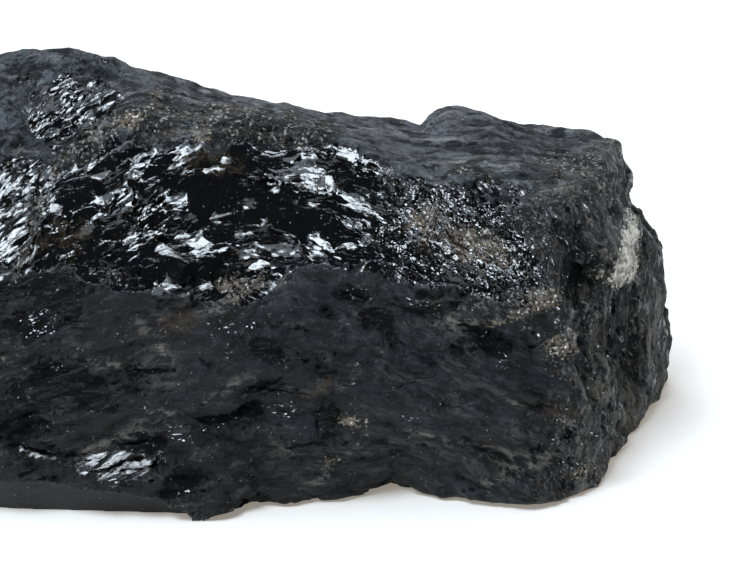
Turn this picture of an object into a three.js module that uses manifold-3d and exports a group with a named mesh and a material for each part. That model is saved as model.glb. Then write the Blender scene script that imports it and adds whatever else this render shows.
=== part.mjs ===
// A rough lump of morion, the nearly black kind of smoky quartz, broken from a vein and never shaped.
// It is one solid stone that lies on its flattest side: a long block with a high shoulder at its left,
// a flat worn top, a front that broke into a glassy band above a duller face, and a rough right end.
// Millimetres, +Z up, +X along the stone, -Y towards the front. The origin is under its middle.
// A loft through the stone's long edges gives the block. Rough blocks then break its ends and corners
// off, shells scoop hollows out of its faces, and scattered small shells chip what is left.
import * as THREE from "three";
import { ImprovedNoise } from "three/addons/math/ImprovedNoise.js";
import { mergeVertices } from "three/addons/utils/BufferGeometryUtils.js";
import Module from "manifold-3d";

// The stone is lofted through these long edges, which run from its left end to its right.
// Each point is [x, y, z] on the edge before the ends are broken off and the faces are chipped.
const edges = {
  frontFoot: [
    [-124, -28, -4], [-100, -41, -4], [-64, -51, -4], [-25, -54, -4], [-16, -54, -4], [-7, -46, -4],
    [2, -40, -4], [33, -32, -4], [61, -38, -4], [74, -42, -4], [91, -32, -4], [128, -32, -4],
  ],
  lip: [
    [-124, -34, 14], [-100, -46, 12], [-82, -54, 11], [-64, -58, 10.5], [-38, -60, 9.5], [-25, -60, 8.5],
    [-16, -60, 3.5], [-7, -57, 0.4], [2, -48.5, 0.4], [11, -47, 0.4], [20, -45, 0.4], [29, -42.5, 0.4],
    [38, -37, 0.4], [47, -40.5, 0.4], [56, -45, 0.4], [65, -49.5, 0.4], [74, -52, 0.4], [83, -49.5, 0.4],
    [92, -40, 0.4], [128, -34, 0.4],
  ],
  belly: [
    [-124, -38, 34], [-100, -50, 34], [-82, -57, 35], [-64, -60, 34], [-38, -61, 33], [-12, -60, 32],
    [14, -58, 31], [33, -56, 31], [66, -53, 30], [88, -45, 28], [128, -36, 28],
  ],
  breakLine: [
    [-124, -36, 58], [-100, -44, 61], [-82, -49, 63], [-64, -52, 62], [-28, -54, 64.5], [-11, -56, 58.5],
    [2, -54, 59.5], [14, -50, 64], [27, -48, 64], [40, -48, 62.5], [52, -50, 56.5], [66, -49, 54],
    [80, -44, 53], [128, -36, 51],
  ],
  bandMiddle: [
    [-124, -26, 66], [-100, -34, 71], [-82, -38, 74], [-64, -38, 76], [-51, -35, 74], [-31, -30, 79],
    [-12, -34, 78.5], [14, -32, 79.5], [27, -35, 78], [40, -40, 74], [52, -44, 70], [66, -43.5, 69],
    [79, -40, 67], [128, -34, 64],
  ],
  crest: [
    [-124, -14, 72], [-100, -18, 78], [-82, -20, 82], [-64, -20, 83], [-52, -16, 84], [-46, -10, 88],
    [-38, -8, 91.5], [-33, -3, 94], [-14, -6, 91.5], [5, -1, 92], [21, -9, 88], [33, -15, 86.5],
    [40, -25, 83], [48, -30, 81.5], [66, -32, 80.5], [82, -30, 78.5], [128, -24, 76],
  ],
  crown: [
    [-124, 4, 80], [-100, 6, 92], [-86, 10, 99.5], [-71, 14, 106], [-54, 18, 107.8], [-44, 20, 105.2],
    [-31, 26, 99.2], [-17, 30, 93.8], [-3, 20, 91], [14, 18, 88.2], [33, 12, 84], [48, 6, 81],
    [66, 6, 80], [82, 8, 78.5], [128, 10, 76],
  ],
  backEdge: [
    [-124, 26, 70], [-100, 28, 80], [-86, 30, 87], [-71, 36, 92], [-54, 40, 94], [-31, 42, 92],
    [-17, 42, 90], [-3, 43, 87.5], [6, 46, 85.7], [14, 48, 83.6], [33, 50, 79.3], [48, 52, 77],
    [54, 52, 81.5], [60, 52, 82], [66, 51, 80.8], [76, 52, 78.2], [88, 50, 76], [100, 46, 75.5],
    [128, 44, 75.5],
  ],
  backBelly: [
    [-124, 44, 44], [-100, 50, 46], [-76, 54, 52], [-40, 60, 50], [0, 59, 46], [40, 60, 44], [80, 58, 44],
    [104, 54, 40], [128, 52, 36],
  ],
  backFoot: [
    [-124, 36, -4], [-100, 40, -4], [-60, 46, -4], [0, 50, -4], [50, 48, -4], [96, 46, -4], [128, 46, -4],
  ],
};

// Rows of faces between each edge and the next, and how far that face swells and dips.
const strips = [
  { rows: 2, swell: 0.6 }, // under the lip
  { rows: 4, swell: 0.9 }, // lower front
  { rows: 4, swell: 0.9 }, // upper front
  { rows: 3, swell: 1.2 }, // lower half of the glassy band
  { rows: 3, swell: 1.2 }, // upper half of the glassy band
  { rows: 3, swell: 0.8 }, // front of the top
  { rows: 3, swell: 0.8 }, // back of the top
  { rows: 3, swell: 2 }, // upper back
  { rows: 4, swell: 2.4 }, // lower back
  { rows: 2, swell: 0 }, // underside
];
const ribSpacing = 9;
const broadSwell = { height: 1.6, length: 26 };
const fineSwell = { height: 0.8, length: 11 };

// Breaks at the ends and corners. Each leaves a flat face whose middle is `at` and that looks `out`.
const breaks = {
  rightEnd: { at: [110.4, 8, 30], out: [0.937, -0.346, 0.01], width: 150, height: 130, rough: 2.4 },
  rightShoulder: { at: [106.6, 50, 73], out: [0.88, -0.1, 0.46], width: 150, height: 110, rough: 1.6 },
  rightBrow: { at: [114.2, 30, 54.5], out: [0.87, -0.18, 0.46], width: 150, height: 110, rough: 1.2 },
  backRightCorner: { at: [117, 38, 30], out: [0.75, 0.62, 0.2], width: 80, height: 120, rough: 3 },
  leftEnd: { at: [-112, 0, 40], out: [-0.95, -0.25, 0.15], width: 150, height: 140, rough: 4 },
  leftShoulder: {
    at: [-102, 10, 85], out: [-0.65, -0.1, 0.75], up: [0, 1, 0], width: 100, height: 120, rough: 3,
  },
  frontLeftCorner: { at: [-100, -43, 30], out: [-0.72, -0.68, 0.1], width: 60, height: 120, rough: 3 },
  backLeftCorner: { at: [-98, 42, 45], out: [-0.6, 0.75, 0.15], width: 60, height: 140, rough: 3 },
  frontRightCorner: {
    at: [90, -29, 72], out: [0.6, -0.42, 0.68], up: [0.3, 0.9, 0.3], width: 60, height: 60, rough: 1.6,
  },
};
const breakBlock = { depth: 40, grain: 12, cell: 9 };

// Hollows. Each follows a shell of half size [along, across, out], sunk into the face by `depth`.
const hollows = {
  leftRecess: {
    at: [-70, -30, 71], along: [0.13, 0.82, 0.55],
    out: [-0.3, -0.55, 0.78], half: [38, 22, 20], depth: 5,
  },
  behindCrest: {
    at: [-47, -3, 90.5], along: [0.74, 0.51, 0.45],
    out: [-0.1, -0.55, 0.83], half: [20, 8, 8], depth: 2.5,
  },
  underShoulder: {
    at: [-66, -12, 87], along: [1, 0, -0.25],
    out: [0, -0.95, 0.3], half: [22, 8, 8], depth: 3,
  },
  rightEndMiddle: {
    at: [104, 2, 38], along: [0, 0, 1],
    out: [0.94, -0.35, 0], half: [32, 22, 26], depth: 4.5,
  },
  rightGroove: {
    at: [88, -33, 42], along: [0, 0.1, 1],
    out: [0.8, -0.6, 0.05], half: [26, 9, 10], depth: 3,
  },
  rightShelf: {
    at: [107.5, 30, 60], along: [0.12, 0.94, -0.31],
    out: [0.8, -0.1, 0.6], half: [34, 6, 8], depth: 2.2,
  },
  bandMiddle: {
    at: [-6, -33, 78], along: [1, 0, 0.1],
    out: [0, -0.85, 0.5], half: [30, 18, 20], depth: 4.5,
  },
  bandLeft: {
    at: [-34, -43, 70], along: [1, 0, -0.2],
    out: [0.1, -0.85, 0.5], half: [24, 14, 18], depth: 3.5,
  },
  bandTop: {
    at: [-30, -12, 90], along: [1, 0.2, 0],
    out: [0.3, -0.6, 0.74], half: [20, 12, 14], depth: 2.5,
  },
  notch: {
    at: [19, -56, 27], along: [0.4, 0, 1],
    out: [0.35, -0.93, 0], half: [13, 7, 10], depth: 3.2,
  },
  notchStep: {
    at: [2, -58, 17], along: [1, 0, -0.6],
    out: [0, -0.9, 0.4], half: [26, 8, 12], depth: 1.4,
  },
  lowLedge: {
    at: [-38, -60, 20], along: [1, 0, 0.15],
    out: [0, -0.85, 0.5], half: [22, 6, 10], depth: 1.6,
  },
  lowLedgeLeft: {
    at: [-72, -57, 20], along: [1, 0, -0.1],
    out: [0, -0.85, 0.5], half: [20, 6, 10], depth: 1.6,
  },
  underBreak: {
    at: [32, -50, 58], along: [1, 0, -0.3],
    out: [0.05, -1, -0.1], half: [26, 7, 8], depth: 2.2,
  },
  underBreakRight: {
    at: [60, -48, 56], along: [1, 0, 0.05],
    out: [0, -0.95, 0.2], half: [22, 6, 8], depth: 1.6,
  },
  leftSlant: {
    at: [-78, -54, 46], along: [1, 0, -0.25],
    out: [0, -0.95, 0.1], half: [26, 6, 9], depth: 1.8,
  },
  rightSlant: {
    at: [64, -50, 14], along: [0.8, 0, -0.5],
    out: [0.1, -1, 0.1], half: [20, 7, 8], depth: 1.6,
  },
};
const hollowShell = { rough: 2, grain: 9, cell: 13 };

// Scattered chips. Rays that run `towards` the stone through the box from `low` to `high` find their places.
const chipped = {
  band: {
    towards: [0, 1, -0.8], low: [-66, -40, 60], high: [84, -12, 88],
    count: 38, radius: [9, 26], depth: [0.8, 2.4], upright: 1, seed: 1,
  },
  front: {
    towards: [0, 1, -0.1], low: [-110, -50, 24], high: [90, -50, 58],
    count: 16, radius: [12, 22], depth: [0.2, 1], upright: 0.3, seed: 2,
  },
  right: {
    towards: [-1, 0.3, 0], low: [110, -36, 5], high: [110, 45, 72],
    count: 16, radius: [10, 24], depth: [0.8, 2.4], upright: 1, seed: 3,
  },
  left: {
    towards: [1, 0.2, 0], low: [-110, -45, 5], high: [-110, 45, 90],
    count: 14, radius: [16, 34], depth: [1, 3], upright: 1, seed: 4,
  },
  back: {
    towards: [0, -1, -0.1], low: [-110, 50, 5], high: [116, 50, 84],
    count: 24, radius: [16, 40], depth: [1, 3.5], upright: 1, seed: 5,
  },
};
const chipLean = 0.6; // how far a chip tilts off its face
const chipLength = 1.3; // half length of a chip for each unit of its radius
const chipWidth = [0.6, 1];

// What lies below the rest plane is cut away. The block is larger than the stone's footprint.
const underCut = { length: 400, width: 300, depth: 40 };

const noise = new ImprovedNoise();
const wasm = await Module();
wasm.setup();

const vector = (numbers) => new THREE.Vector3(...numbers);
const lerp = THREE.MathUtils.lerp;

function swellAt(point) {
  const wave = ({ height, length }) => height * noise.noise(...point.clone().divideScalar(length).toArray());
  return wave(broadSwell) + wave(fineSwell);
}

function pointOnEdge(edge, x) {
  const next = Math.max(1, edge.findIndex((point) => point[0] >= x));
  const [a, b] = [edge[next - 1], edge[next]];
  const share = (x - a[0]) / (b[0] - a[0]);
  return new THREE.Vector3(x, a[1] + share * (b[1] - a[1]), a[2] + share * (b[2] - a[2]));
}

// Closed surface through all the edges, with the two ends closed by fans.
function loftStone() {
  const lines = Object.values(edges);
  const left = lines[0][0][0];
  const right = lines[0].at(-1)[0];
  const ribs = Math.round((right - left) / ribSpacing);
  const points = [];
  const swells = [];
  for (let rib = 0; rib <= ribs; rib++) {
    const x = left + ((right - left) * rib) / ribs;
    strips.forEach(({ rows, swell }, s) => {
      const from = pointOnEdge(lines[s], x);
      const to = pointOnEdge(lines[(s + 1) % lines.length], x);
      for (let row = 0; row < rows; row++) {
        points.push(from.clone().lerp(to, row / rows));
        swells.push(swell);
      }
    });
  }
  const around = points.length / (ribs + 1);
  const faces = [];
  for (let rib = 0; rib < ribs; rib++) {
    for (let n = 0; n < around; n++) {
      const a = rib * around + n;
      const b = rib * around + ((n + 1) % around);
      faces.push(a, a + around, b, b, a + around, b + around);
    }
  }
  for (const rib of [0, ribs]) {
    const ring = points.slice(rib * around, (rib + 1) * around);
    const middle = points.length;
    points.push(ring.reduce((sum, point) => sum.add(point), new THREE.Vector3()).divideScalar(around));
    for (let n = 0; n < around; n++) {
      const a = rib * around + n;
      const b = rib * around + ((n + 1) % around);
      faces.push(...(rib ? [b, a, middle] : [a, b, middle]));
    }
  }
  const surface = new THREE.BufferGeometry().setFromPoints(points).setIndex(faces);
  surface.computeVertexNormals();
  const { position, normal } = surface.attributes;
  swells.forEach((swell, n) => {
    const point = new THREE.Vector3().fromBufferAttribute(position, n);
    const outward = new THREE.Vector3().fromBufferAttribute(normal, n);
    point.addScaledVector(outward, swell * swellAt(point));
    position.setXYZ(n, ...point.toArray());
  });
  return surface;
}

function solidFrom(geometry) {
  const bare = geometry.clone();
  bare.deleteAttribute("normal");
  bare.deleteAttribute("uv");
  const merged = mergeVertices(bare, 1e-3);
  return new wasm.Manifold(
    new wasm.Mesh({
      numProp: 3,
      vertProperties: merged.attributes.position.array,
      triVerts: new Uint32Array(merged.index.array),
    }),
  );
}

function geometryFrom(solid) {
  const mesh = solid.getMesh();
  const geometry = new THREE.BufferGeometry();
  geometry.setAttribute("position", new THREE.BufferAttribute(mesh.vertProperties, 3));
  geometry.setIndex(new THREE.BufferAttribute(mesh.triVerts, 1));
  return geometry;
}

// Moves every corner of a tool by a little noise, so that what it cuts looks broken and not sawn.
function roughen(geometry, rough, grain) {
  const apart = [17, 59, 101]; // keeps the three directions' noise unlike
  const { position } = geometry.attributes;
  for (let n = 0; n < position.count; n++) {
    const point = new THREE.Vector3().fromBufferAttribute(position, n);
    const at = point.clone().divideScalar(grain);
    const shift = apart.map((offset) => rough * noise.noise(at.x + offset, at.y, at.z - offset));
    position.setXYZ(n, ...point.add(vector(shift)).toArray());
  }
  return geometry;
}

// Rough block that stands off the face that it leaves. `up` lies along the face.
function roughBlock({ at, out, up = [0, 0, 1], width, height, rough }) {
  const { depth, grain, cell } = breakBlock;
  const columns = Math.ceil(width / cell);
  const rows = Math.ceil(height / cell);
  const block = new THREE.BoxGeometry(width, height, depth, columns, rows, 1).translate(0, 0, depth / 2);
  const zAxis = vector(out).normalize();
  const xAxis = vector(up).cross(zAxis).normalize();
  const yAxis = zAxis.clone().cross(xAxis);
  block.applyMatrix4(new THREE.Matrix4().makeBasis(xAxis, yAxis, zAxis).setPosition(...at));
  return solidFrom(roughen(block, rough, grain));
}

// Faceted shell, turned so that its facets don't line up with its axes, that stands off a face.
function roughShell({ at, along, out, half, depth }) {
  const { rough, grain, cell } = hollowShell;
  const zAxis = vector(out).normalize();
  const yAxis = zAxis.clone().cross(vector(along)).normalize();
  const xAxis = yAxis.clone().cross(zAxis);
  const centre = vector(at).addScaledVector(zAxis, half[2] - depth);
  const detail = Math.max(1, Math.round((half[0] + half[1]) / 2 / cell));
  const shell = new THREE.IcosahedronGeometry(1, detail).rotateX(half[0]).rotateZ(half[1]).scale(...half);
  shell.applyMatrix4(new THREE.Matrix4().makeBasis(xAxis, yAxis, zAxis).setPosition(centre));
  return solidFrom(roughen(shell, rough, grain));
}

// One region's chips, each where a ray from outside first meets the stone.
function chipsIn(solid, { towards, low, high, count, radius, depth, upright, seed }) {
  const surface = new THREE.Mesh(geometryFrom(solid));
  const inward = vector(towards).normalize();
  const farOff = 300;
  const chips = [];
  for (let n = 0; n < count; n++) {
    const random = (salt) => THREE.MathUtils.seededRandom(seed * 7919 + n * 97 + salt);
    const aim = vector(low.map((edge, axis) => lerp(edge, high[axis], random(axis))));
    const ray = new THREE.Raycaster(aim.addScaledVector(inward, -farOff), inward);
    const [hit] = ray.intersectObject(surface);
    if (!hit) continue;
    const size = lerp(...radius, random(3));
    const lean = vector([4, 5, 6].map((salt) => random(salt) - 0.5));
    const along = [random(7) - 0.5, random(8) - 0.5, (random(10) - 0.5) * upright];
    chips.push(roughShell({
      at: hit.point.toArray(),
      along,
      out: hit.face.normal.clone().addScaledVector(lean, chipLean).toArray(),
      half: [size * chipLength, size * lerp(...chipWidth, random(11)), size],
      depth: lerp(...depth, random(9)),
    }));
  }
  return chips;
}

function breakStone() {
  let stone = solidFrom(loftStone());
  for (const cut of Object.values(breaks)) stone = stone.subtract(roughBlock(cut));
  for (const cut of Object.values(hollows)) stone = stone.subtract(roughShell(cut));
  const { length, width, depth } = underCut;
  stone = stone.subtract(solidFrom(new THREE.BoxGeometry(length, width, depth).translate(0, 0, -depth / 2)));
  for (const region of Object.values(chipped)) {
    for (const chip of chipsIn(stone, region)) stone = stone.subtract(chip);
  }
  return stone;
}

const body = geometryFrom(breakStone());
body.computeBoundingBox();
const { min, max } = body.boundingBox;
body.translate(-(min.x + max.x) / 2, -(min.y + max.y) / 2, -min.z);
body.computeVertexNormals();

const morion = new THREE.MeshStandardMaterial({ color: 0x1d2023, roughness: 0.35, metalness: 0 });
const lump = new THREE.Mesh(body, morion);
lump.name = "morion_lump";

const specimen = new THREE.Group();
specimen.add(lump);
export default specimen;
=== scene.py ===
# A rough lump of morion, lying on a pale table in soft window light. Metres, +Z up.
import math

import bpy
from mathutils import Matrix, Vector


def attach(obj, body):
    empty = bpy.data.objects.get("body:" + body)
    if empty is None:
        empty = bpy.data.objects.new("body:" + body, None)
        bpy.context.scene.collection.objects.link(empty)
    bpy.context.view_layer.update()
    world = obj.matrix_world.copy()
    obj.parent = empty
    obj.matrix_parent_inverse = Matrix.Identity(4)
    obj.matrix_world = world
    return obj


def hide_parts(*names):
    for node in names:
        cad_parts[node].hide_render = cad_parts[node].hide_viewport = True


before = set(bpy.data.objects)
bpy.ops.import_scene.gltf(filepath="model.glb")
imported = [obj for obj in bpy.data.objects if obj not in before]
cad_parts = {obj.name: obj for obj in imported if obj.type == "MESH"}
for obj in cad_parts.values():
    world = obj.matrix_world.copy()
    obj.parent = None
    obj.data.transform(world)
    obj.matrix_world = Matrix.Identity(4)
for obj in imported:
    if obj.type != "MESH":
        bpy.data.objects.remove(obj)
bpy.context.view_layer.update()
bpy.ops.object.select_all(action="DESELECT")
print("frame loaded")


# A socket that Python's own signs work on. They add the maths nodes.
class Wire:
    def __init__(self, tree, socket):
        self.tree, self.socket = tree, socket
        self.isVector = socket.type in ("VECTOR", "RGBA")

    def __add__(self, other):
        return self.tree.maths("ADD", self, other)

    __radd__ = __add__

    def __mul__(self, other):
        return self.tree.maths("MULTIPLY", self, other)

    __rmul__ = __mul__

    def __sub__(self, other):
        return self.tree.maths("SUBTRACT", self, other)

    def __rsub__(self, other):
        return self.tree.maths("SUBTRACT", other, self)

    def __truediv__(self, other):
        return self.tree.maths("DIVIDE", self, other)

    def __pow__(self, other):
        return self.tree.maths("POWER", self, other)

    def other(self, name):  # another output of the same node
        return Wire(self.tree, self.socket.node.outputs[name])


class Tree:
    def __init__(self, nodeTree):
        self.nodes, self.links = nodeTree.nodes, nodeTree.links

    def node(self, kind, settings=None, inputs=None, output=0):
        made = self.nodes.new(kind)
        for name, value in (settings or {}).items():
            if name == "stops":  # of a colour ramp: (place, colour) pairs
                while len(made.color_ramp.elements) < len(value):
                    made.color_ramp.elements.new(1)
                for stop, (place, colour) in zip(made.color_ramp.elements, value):
                    stop.position, stop.color = place, (*colour, 1)
            elif name == "curve":  # of a float curve: (in, out) pairs from 0 to 1
                points = made.mapping.curves[0].points
                while len(points) < len(value):
                    points.new(0.5, 0.5)
                for point, place in zip(points, value):
                    point.location, point.handle_type = place, "VECTOR"
                made.mapping.update()
            else:
                setattr(made, name, value)
        for name, value in (inputs or {}).items():
            if isinstance(value, Wire):
                self.links.new(value.socket, made.inputs[name])
            else:
                made.inputs[name].default_value = value
        return Wire(self, made.outputs[output]) if output is not None else None

    def maths(self, operation, *values):
        if not any(isinstance(v, tuple) or getattr(v, "isVector", False) for v in values):
            return self.node("ShaderNodeMath", {"operation": operation}, dict(enumerate(values)))
        whole = [(v, v, v) if isinstance(v, (int, float)) else v for v in values]
        output = "Value" if operation in ("DOT_PRODUCT", "LENGTH") else "Vector"
        settings = {"operation": operation}
        return self.node("ShaderNodeVectorMath", settings, dict(enumerate(whole)), output)

    def most(self, first, second):  # the larger of the two
        return self.maths("MAXIMUM", first, second)

    def smooth(self, value, low, high):  # 0 below low, 1 above high, eased between them
        settings = {"interpolation_type": "SMOOTHSTEP"}
        inputs = {"Value": value, "From Min": low, "From Max": high}
        return self.node("ShaderNodeMapRange", settings, inputs)

    def vector(self, x, y, z):
        return self.node("ShaderNodeCombineXYZ", None, {"X": x, "Y": y, "Z": z})

    def split(self, vector):
        x = self.node("ShaderNodeSeparateXYZ", None, {"Vector": vector})
        return x, x.other("Y"), x.other("Z")

    def noise(self, vector, size, detail=3, rough=0.55, output=0):  # size: one lump's, in metres
        inputs = {"Vector": vector, "Scale": 1 / size, "Detail": detail, "Roughness": rough}
        return self.node("ShaderNodeTexNoise", None, inputs, output)

    def cells(self, vector, output="Color", metric="EUCLIDEAN"):  # cells of size 1
        inputs = {"Vector": vector, "Scale": 1.0}
        return self.node("ShaderNodeTexVoronoi", {"distance": metric}, inputs, output)

    def mix(self, share, first, second):
        if isinstance(first, tuple) or getattr(first, "isVector", False):
            inputs = {0: share, 4: first, 5: second}
            return self.node("ShaderNodeMix", {"data_type": "VECTOR"}, inputs, 1)
        return self.node("ShaderNodeMix", {"data_type": "FLOAT"}, {0: share, 2: first, 3: second}, 0)

    def line(self, along, places):  # straight stretches through (x, value) places, from left to right
        left, right = places[0][0], places[-1][0]
        low, high = min(v for _, v in places), max(v for _, v in places)
        curve = [((x - left) / (right - left), (v - low) / (high - low)) for x, v in places]
        share = (along - left) / (right - left)
        height = self.node("ShaderNodeFloatCurve", {"curve": curve}, {"Factor": 1.0, "Value": share})
        return height * (high - low) + low


# Where the stone changes its face. Seen from the front, x runs along it.
zones = {
    "breakHeight": [  # (x, z) along the lower edge of the glassy band
        (-0.120, 0.060), (-0.060, 0.0625), (-0.036, 0.0625), (-0.017, 0.0585), (-0.004, 0.0565),
        (0.003, 0.0575), (0.012, 0.0625), (0.034, 0.0635), (0.046, 0.0595), (0.060, 0.056),
        (0.082, 0.0535), (0.120, 0.051),
    ],
    "crestDepth": [  # (x, y) along the upper edge of the glassy band
        (-0.120, -0.010), (-0.067, -0.011), (-0.054, -0.008), (-0.040, -0.007), (-0.024, -0.0085),
        (-0.013, -0.0105), (-0.003, -0.0085), (0.008, -0.004), (0.021, -0.005), (0.034, -0.013),
        (0.042, -0.022), (0.060, -0.024), (0.079, -0.029), (0.120, -0.030),
    ],
    "lipHeight": [  # (x, z) along the edge over the smooth underside
        (-0.120, 0.0130), (-0.064, 0.0115), (-0.048, 0.0102), (-0.030, 0.0086), (-0.022, 0.0064),
        (-0.017, 0.0042), (-0.0105, 0.0010), (0.0, -0.004), (0.120, -0.004),
    ],
    "endPlane": (0.108, 0.008, 0.937, -0.346),  # (x, y) on the right end, and the way it faces
    "backDepth": 0.044, "backHeight": 0.074, "leftEnd": -0.086,
    "raggedSize": 0.010,  # how the edges of the zones wander, and how far
    "bandRagged": 0.016, "endRagged": 0.022, "lipRagged": 0.0012, "spotRagged": 1.6, "seamRagged": 0.005,
    "archBend": 3.3, "archMiddle": 0.004,  # the layers rise to the middle of the front and fall again
    "sweepBend": 6.5,  # and more so in the glassy band
    "wander": 0.008, "wanderSize": 0.018,
}


# The place as patterns see it: bent to the layers' arch, and wandering a little.
def bentPlaces(t, place):
    x, y, z = t.split(place)
    wander = (t.noise(place, zones["wanderSize"], 3, output=1) - 0.5) * zones["wander"]
    fromMiddle = x - zones["archMiddle"]
    rise = fromMiddle * fromMiddle
    arched = t.vector(x, y, z + rise * zones["archBend"]) + wander
    swept = t.vector(x, y, z + rise * zones["sweepBend"]) + wander
    return arched, swept, place + wander


# How much of each zone there is at a point.
def surveyAt(t, place):
    x, y, z = t.split(place)
    ragged = t.noise(place, zones["raggedSize"], 4, 0.6) - 0.5
    overBreak = z - t.line(x, zones["breakHeight"]) + ragged * zones["bandRagged"]
    beforeCrest = t.line(x, zones["crestDepth"]) - y + ragged * zones["bandRagged"]
    atX, atY, faceX, faceY = zones["endPlane"]
    toEnd = (x - atX) * faceX + (y - atY) * faceY + ragged * zones["endRagged"]
    toEnd = toEnd + t.smooth(z, 0.040, 0.056) * 0.005 + t.smooth(z, 0.064, 0.074) * 0.009
    atEnd = t.smooth(toEnd, -0.009, -0.002)
    atBack = t.smooth(y, zones["backDepth"] - 0.006, zones["backDepth"])
    atBack = atBack * t.smooth(z, zones["backHeight"], zones["backHeight"] - 0.005)
    hidden = t.most(atBack, t.smooth(zones["leftEnd"] - x, 0.0, 0.012))
    shown = (1 - atEnd) * (1 - hidden)
    above = t.smooth(overBreak, 0.0, 0.002)
    underLip = t.line(x, zones["lipHeight"]) - z + ragged * zones["lipRagged"]
    lip = t.smooth(underLip, -0.0002, 0.0006) * t.smooth(y, 0.0, -0.01)
    before = t.smooth(beforeCrest, -0.001, 0.003)
    return {
        "place": place, "x": x, "y": y, "z": z, "ragged": ragged,
        "end": atEnd, "hidden": hidden, "band": above * before * shown, "top": above * (1 - before) * shown,
        "lip": lip, "front": (1 - above) * shown * (1 - lip),
    }


# A spot is its centre, its half length, depth and height, and how many degrees it rises to the right.
def spotAt(t, here, spot, soft=0.5):
    centre, half, rise = spot
    inputs = {"Vector": here["place"], "Center": centre, "Angle": math.radians(rise)}
    turned = t.node("ShaderNodeVectorRotate", {"rotation_type": "Y_AXIS"}, inputs)
    away = t.maths("LENGTH", (turned - centre) / half) + here["ragged"] * zones["spotRagged"]
    return 1 - t.smooth(away, 1 - soft, 1.15)


def spotsAt(t, here, spots, soft=0.5):
    total = spotAt(t, here, spots[0], soft)
    for spot in spots[1:]:
        total = t.most(total, spotAt(t, here, spot, soft))
    return total


# A seam is its (x, z) places from left to right and its half width. It runs over the front of the stone.
def seamAt(t, here, seam):
    places, half = seam
    away = here["z"] - t.line(here["x"], places) + here["ragged"] * zones["seamRagged"]
    away = t.maths("ABSOLUTE", away)
    fromLeft = t.smooth(here["x"], places[0][0] - 0.003, places[0][0] + 0.002)
    fromRight = t.smooth(places[-1][0] - here["x"], -0.003, 0.002)
    within = fromLeft * fromRight
    return (1 - t.smooth(away, half * 0.2, half)) * within


def seamsAt(t, here, seams):
    total = seamAt(t, here, seams[0])
    for seam in seams[1:]:
        total = t.most(total, seamAt(t, here, seam))
    return total * t.smooth(here["y"], 0.02, 0.01)


# Where the lower front broke rough and dark: drawn spots, and more towards the left.
def patchesAt(t, here, arched):
    drawn = spotsAt(t, here, darkSpots, 0.7)
    shape = t.noise(arched / (1.9, 1.0, 1.0), 0.0090, 7, 0.72)
    wanted = 0.420 + drawn * 0.16 - here["x"] * 0.55
    return t.smooth(wanted - shape, -0.030, 0.035)


darkSpots = [  # ragged, nearly black patches of the lower front
    ((0.0271, -0.054, 0.0587), (0.0060, 0.014, 0.0030), -20),
    ((0.0353, -0.053, 0.0503), (0.0065, 0.014, 0.0034), -32),
    ((0.0629, -0.053, 0.0463), (0.0120, 0.014, 0.0055), -12),
    ((0.0215, -0.056, 0.0274), (0.0075, 0.014, 0.0048), 58),
    ((0.0757, -0.050, 0.0282), (0.0080, 0.014, 0.0014), -15),
    ((-0.0523, -0.058, 0.0610), (0.0140, 0.018, 0.0050), 4),
    ((-0.0510, -0.058, 0.0530), (0.0110, 0.018, 0.0060), 20),
    ((-0.0480, -0.060, 0.0368), (0.0160, 0.018, 0.0060), 15),
    ((-0.0587, -0.060, 0.0274), (0.0090, 0.018, 0.0070), 10),
    ((-0.0152, -0.056, 0.0580), (0.0075, 0.014, 0.0036), 0),
    ((0.0053, -0.056, 0.0463), (0.0080, 0.014, 0.0030), -15),
    ((0.0053, -0.057, 0.0373), (0.0070, 0.014, 0.0022), 25),
    ((-0.0075, -0.058, 0.0282), (0.0060, 0.014, 0.0024), 0),
    ((-0.0254, -0.060, 0.0212), (0.0080, 0.014, 0.0026), 6),
    ((-0.0180, -0.058, 0.0095), (0.0085, 0.014, 0.0036), 32),
    ((-0.0241, -0.059, 0.0409), (0.0080, 0.014, 0.0012), 8),
    ((-0.0088, -0.058, 0.0436), (0.0055, 0.014, 0.0011), -30),
]
calmSpots = [  # smooth dark hollows in the glassy band
    ((0.012, -0.030, 0.0735), (0.016, 0.02, 0.0055), -6),
    ((-0.010, -0.028, 0.0765), (0.009, 0.02, 0.0050), 0),
    ((-0.0468, -0.026, 0.079), (0.007, 0.02, 0.006), 10),
    ((-0.0176, -0.047, 0.0664), (0.007, 0.02, 0.004), 0),
    ((0.024, -0.024, 0.0815), (0.006, 0.02, 0.003), -10),
]
nightSpots = [  # parts of the glassy band that face away from the light
    ((-0.0451, -0.022, 0.0790), (0.0095, 0.020, 0.0052), 0),
    ((-0.0080, -0.024, 0.0780), (0.0140, 0.020, 0.0075), 0),
    ((0.0130, -0.028, 0.0735), (0.0200, 0.020, 0.0075), -6),
    ((-0.0430, -0.041, 0.0690), (0.0150, 0.020, 0.0042), 5),
    ((-0.0300, -0.048, 0.0635), (0.0280, 0.022, 0.0045), 0),
    ((0.0000, -0.048, 0.0590), (0.0170, 0.022, 0.0045), 8),
    ((-0.0020, -0.036, 0.0705), (0.0150, 0.020, 0.0030), 0),
    ((-0.0420, -0.032, 0.0745), (0.0060, 0.020, 0.0030), 20),
    ((0.0386, -0.044, 0.0705), (0.0050, 0.020, 0.0085), -10),
    ((0.0720, -0.040, 0.0680), (0.0070, 0.020, 0.0090), 0),
    ((0.0480, -0.046, 0.0630), (0.0100, 0.020, 0.0024), 0),
]
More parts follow.
